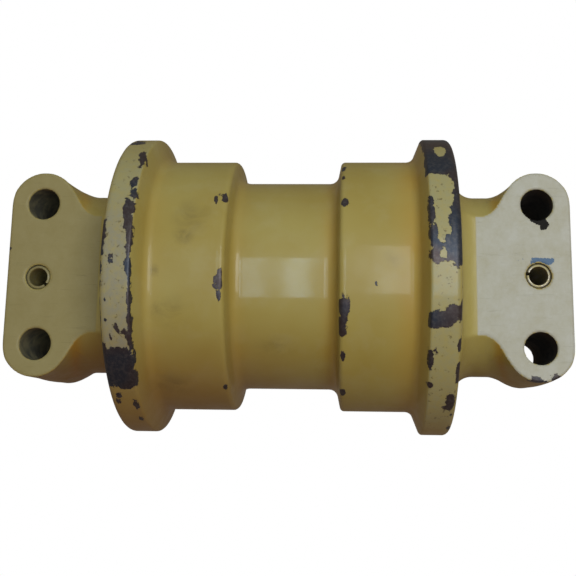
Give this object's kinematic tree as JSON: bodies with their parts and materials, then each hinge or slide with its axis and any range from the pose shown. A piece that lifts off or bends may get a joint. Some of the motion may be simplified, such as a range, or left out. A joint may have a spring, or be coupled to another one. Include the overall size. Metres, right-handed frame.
{
  "type": "track roller",
  "caption": "Double-flange track roller: a spinning two-tread shell on a fixed shaft, held by an end collar with a flat bolt-up pad at each end.",
  "frame": {"origin": "on the roller's spin axis, midway between its ends", "axes": "+Y along the spin axis towards the oil plug, +Z out of the mounting pads towards the track frame, +X across the pads"},
  "size_m": [0.2, 0.362, 0.2],
  "materials": {
    "shell_paint": "worn satin yellow paint, chipped to dark steel on the flange rims",
    "collar_paint": "worn satin yellow paint, dusty on the pads",
    "bushing_bronze": "turned bronze, oiled",
    "shaft_steel": "ground hardened steel",
    "pin_steel": "rolled spring steel, dull",
    "seal_rubber": "matte black nitrile rubber",
    "seal_ring_iron": "cast iron with a lapped face",
    "plug_steel": "dark socket plug",
    "washer_copper": "annealed copper"
  },
  "bodies": {
    "root": {"collar_left": "collar_paint", "collar_right": "collar_paint", "shaft": "shaft_steel", "spring_pin_left": "pin_steel", "spring_pin_right": "pin_steel", "collar_o_ring_left": "seal_rubber", "collar_o_ring_right": "seal_rubber", "seal_ring_fixed_left": "seal_ring_iron", "seal_ring_fixed_right": "seal_ring_iron", "toric_fixed_left": "seal_rubber", "toric_fixed_right": "seal_rubber", "oil_plug": "plug_steel", "oil_plug_seal": "washer_copper"},
    "roller": {"roller_shell": "shell_paint", "bushing_left": "bushing_bronze", "bushing_right": "bushing_bronze", "seal_ring_turning_left": "seal_ring_iron", "seal_ring_turning_right": "seal_ring_iron", "toric_turning_left": "seal_rubber", "toric_turning_right": "seal_rubber"}
  },
  "joints": [
    {"name": "roller_spin", "type": "hinge", "parent": "root", "child": "roller", "pos_m": [0, 0, 0], "axis": [0, 1, 0], "continuous": true}
  ]
}
